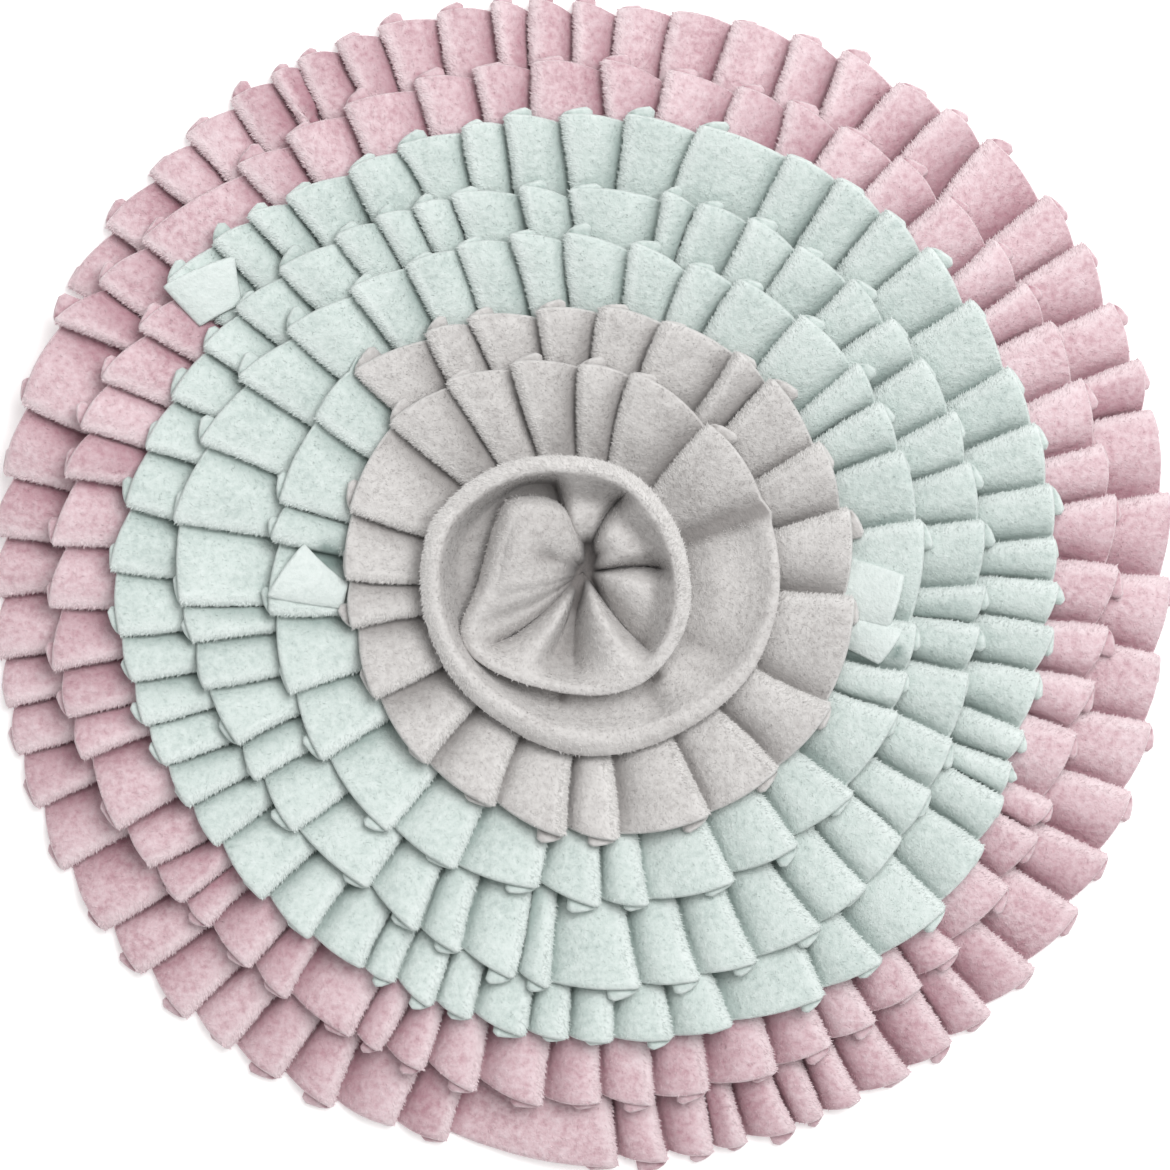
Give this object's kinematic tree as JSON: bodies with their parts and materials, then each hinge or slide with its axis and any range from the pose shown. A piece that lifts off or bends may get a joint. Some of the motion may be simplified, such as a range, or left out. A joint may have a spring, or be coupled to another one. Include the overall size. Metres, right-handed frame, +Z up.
{
  "type": "snuffle mat",
  "caption": "Round snuffle mat of grey, mint and pink fleece, knife-pleated in one long spiral round a gathered middle cup.",
  "frame": {"origin": "centre of the underside's bounding box, on the surface the mat lies on", "axes": "+Z up, out of the mat's pleated face; +Y towards the edge that is furthest up in the view from above"},
  "size_m": [0.3847, 0.3812, 0.0335],
  "materials": {
    "base_felt": "matt needle felt",
    "fleece_grey": "matt brushed pile",
    "fleece_mint": "matt brushed pile",
    "fleece_pink": "matt brushed pile"
  },
  "bodies": {
    "root": {"base_cloth": "base_felt", "grey_strip": "fleece_grey", "mint_strip": "fleece_mint", "pink_strip": "fleece_pink"}
  },
  "joints": []
}
